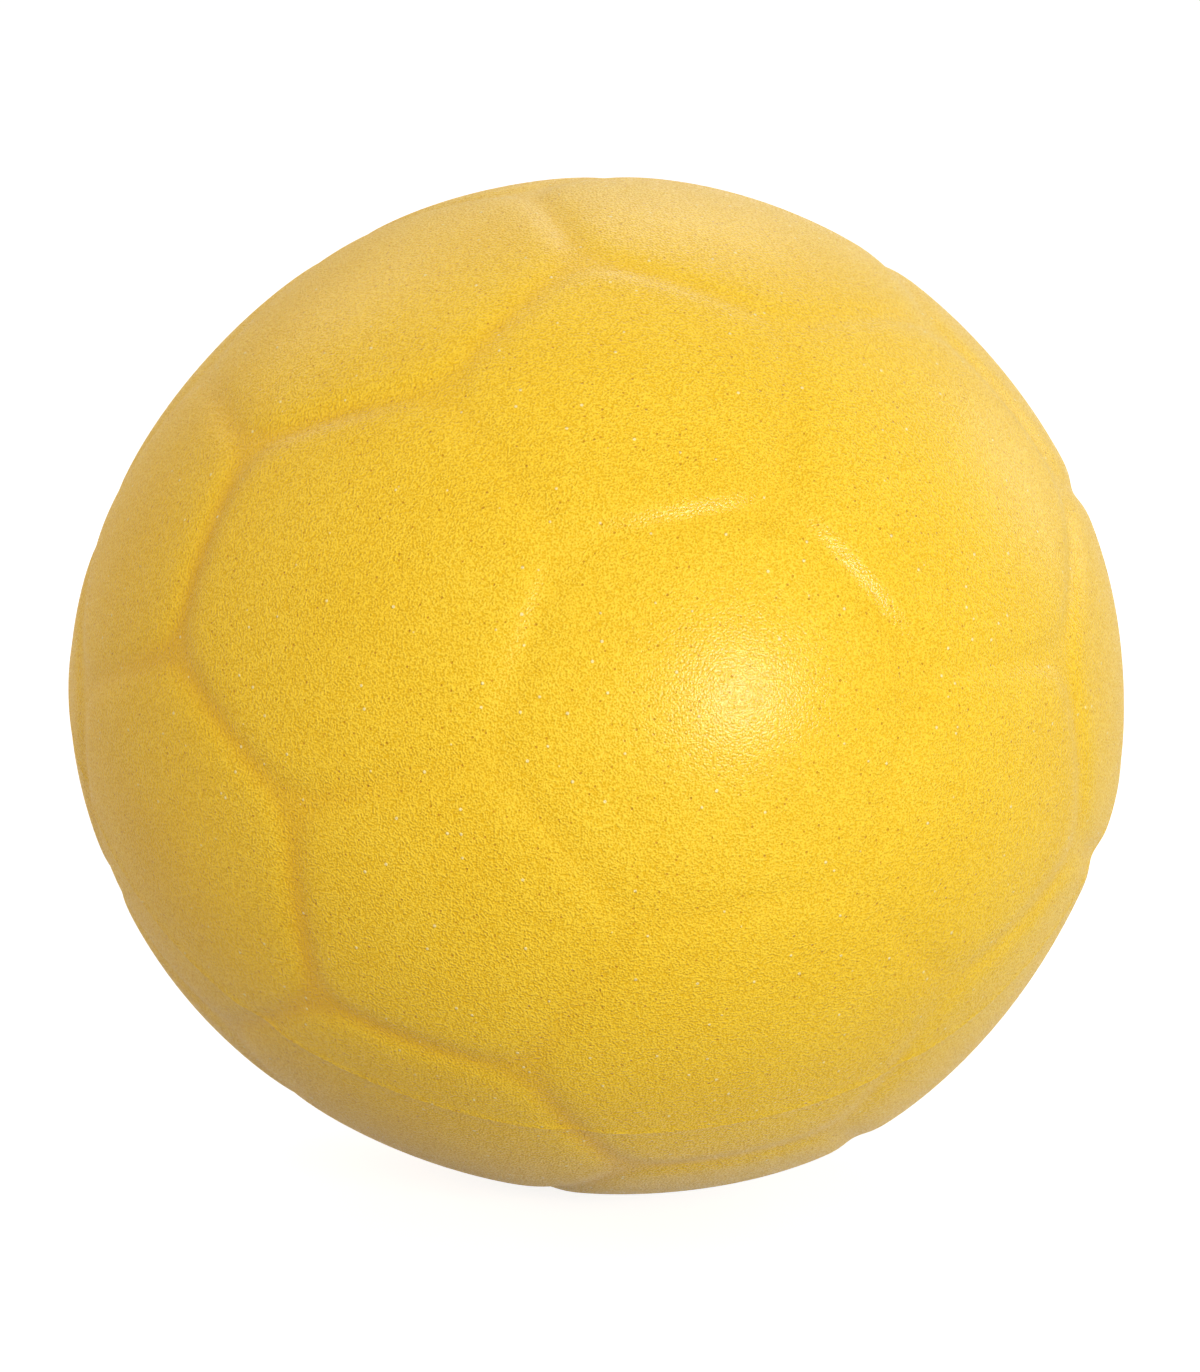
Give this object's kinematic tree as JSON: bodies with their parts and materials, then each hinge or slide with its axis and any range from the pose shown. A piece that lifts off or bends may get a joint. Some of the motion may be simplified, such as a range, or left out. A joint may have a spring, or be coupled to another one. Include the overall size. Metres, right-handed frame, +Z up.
{
  "type": "foam soccer ball",
  "caption": "Soft moulded foam soccer ball: a foam core in a grainy yellow skin, with pentagon and hexagon panels pressed in as grooves.",
  "frame": {"origin": "centre of the ball", "axes": "+Z up as the ball lies; the pictured side faces -Y, and the mould's pole leans 45 degrees from +Z towards -Y"},
  "size_m": [0.2, 0.2, 0.2],
  "materials": {
    "skin": "satin yellow polyurethane skin with a fine pebbled grain",
    "foam": "matt open-cell polyurethane foam, pale cream"
  },
  "bodies": {
    "root": {"upper_skin": "skin", "lower_skin": "skin", "foam_core": "foam"}
  },
  "joints": []
}
